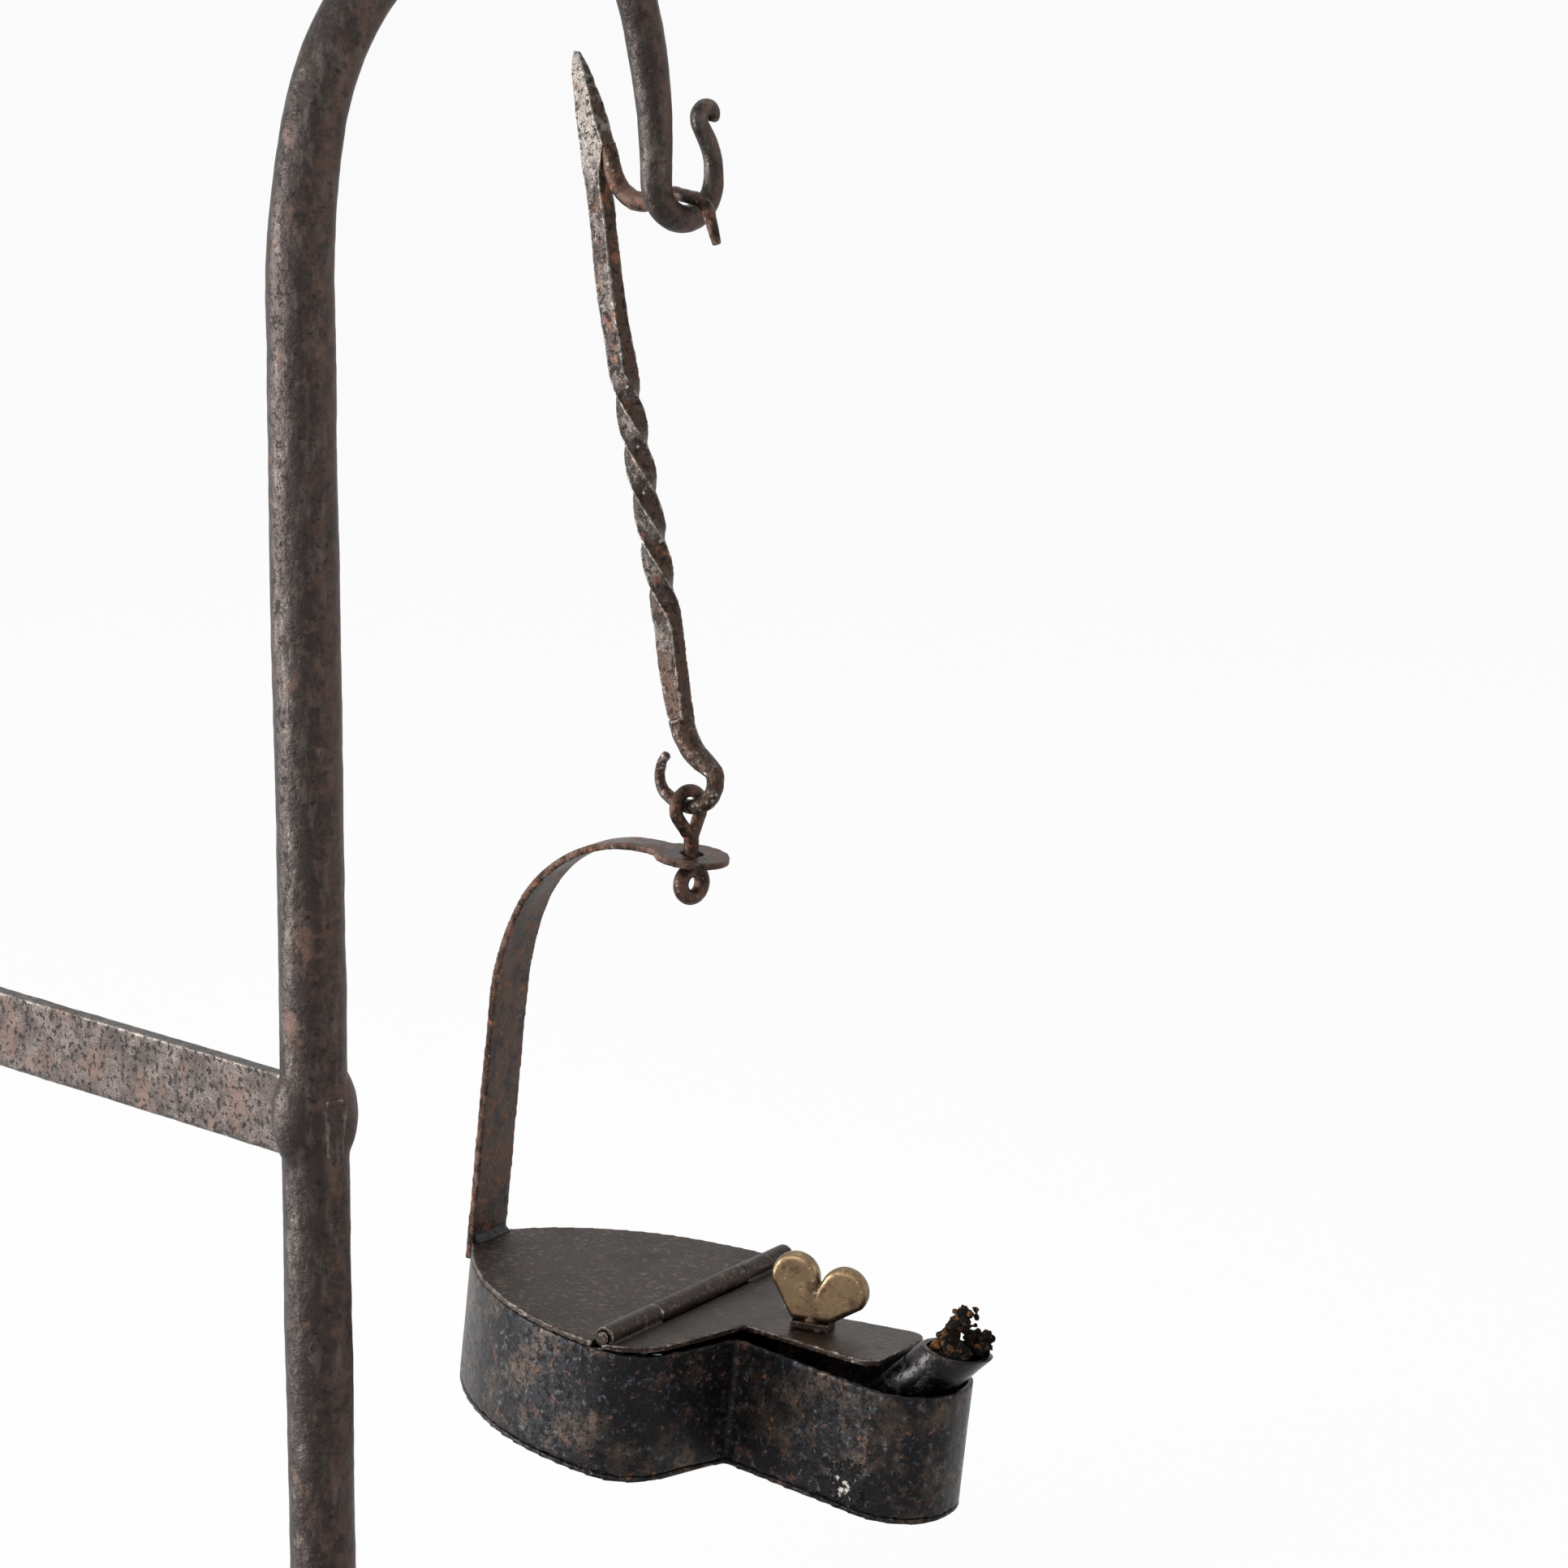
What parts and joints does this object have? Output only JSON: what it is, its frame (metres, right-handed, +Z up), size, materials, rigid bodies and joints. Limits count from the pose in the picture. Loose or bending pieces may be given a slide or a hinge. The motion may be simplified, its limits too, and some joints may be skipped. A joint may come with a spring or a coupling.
{
  "type": "betty lamp stand",
  "caption": "Forged iron stand with a hooked crook, from which a spiked hanger and a swivel carry a closed grease lamp with a hinged lid.",
  "frame": {"origin": "middle of the whole object's footprint, on the floor", "axes": "+X along the crook from the upright to its J hook, +Y along the flat bar to the rear leg, +Z up"},
  "size_m": [0.274, 0.2791, 0.3735],
  "materials": {
    "forged_iron": "smooth dark scale, lightly worn",
    "rough_iron": "pitted and rusty",
    "rusty_iron": "brown rust over dark scale",
    "black_sheet": "blackened sheet with rust spots",
    "brown_sheet": "sooty, finely rough",
    "brass": "dull, worn",
    "wick": "charred strands"
  },
  "bodies": {
    "stand": {"upright_crook": "forged_iron", "foot_collar": "forged_iron", "foot_arch": "forged_iron", "stretcher_bar": "forged_iron", "rear_leg": "forged_iron", "rear_leg_rivets": "forged_iron"},
    "hanger": {"hanger_shaft": "rough_iron", "hanger_hook": "rough_iron"},
    "swivel": {"swivel_link": "rusty_iron"},
    "lamp": {"handle_strap": "rusty_iron", "braze_bead": "brass", "lamp_wall": "black_sheet", "lamp_floor": "black_sheet", "top_plate": "brown_sheet", "hinge_pin": "black_sheet", "wick_holder": "black_sheet", "wick_strand_1": "wick", "wick_strand_2": "wick", "wick_strand_3": "wick"},
    "lid": {"lid_flap": "black_sheet", "thumb_wing": "brass", "thumb_base": "black_sheet"}
  },
  "joints": [
    {"name": "hanger_swing", "type": "hinge", "parent": "stand", "child": "hanger", "pos_m": [0.09367, -0.07336, 0.30627], "axis": [1, 0, 0], "range_deg": [-30, 30]},
    {"name": "link_swing", "type": "hinge", "parent": "hanger", "child": "swivel", "pos_m": [0.09367, -0.07336, 0.19082], "axis": [0, 1, 0], "range_deg": [-15, 15]},
    {"name": "lamp_turn", "type": "hinge", "parent": "swivel", "child": "lamp", "pos_m": [0.09467, -0.07336, 0.17975], "axis": [0, 0, 1], "continuous": true},
    {"name": "lid_hinge", "type": "hinge", "parent": "lamp", "child": "lid", "pos_m": [0.0949, -0.0742, 0.09073], "axis": [-0.9632, -0.2689, 0], "range_deg": [0, 105]}
  ]
}
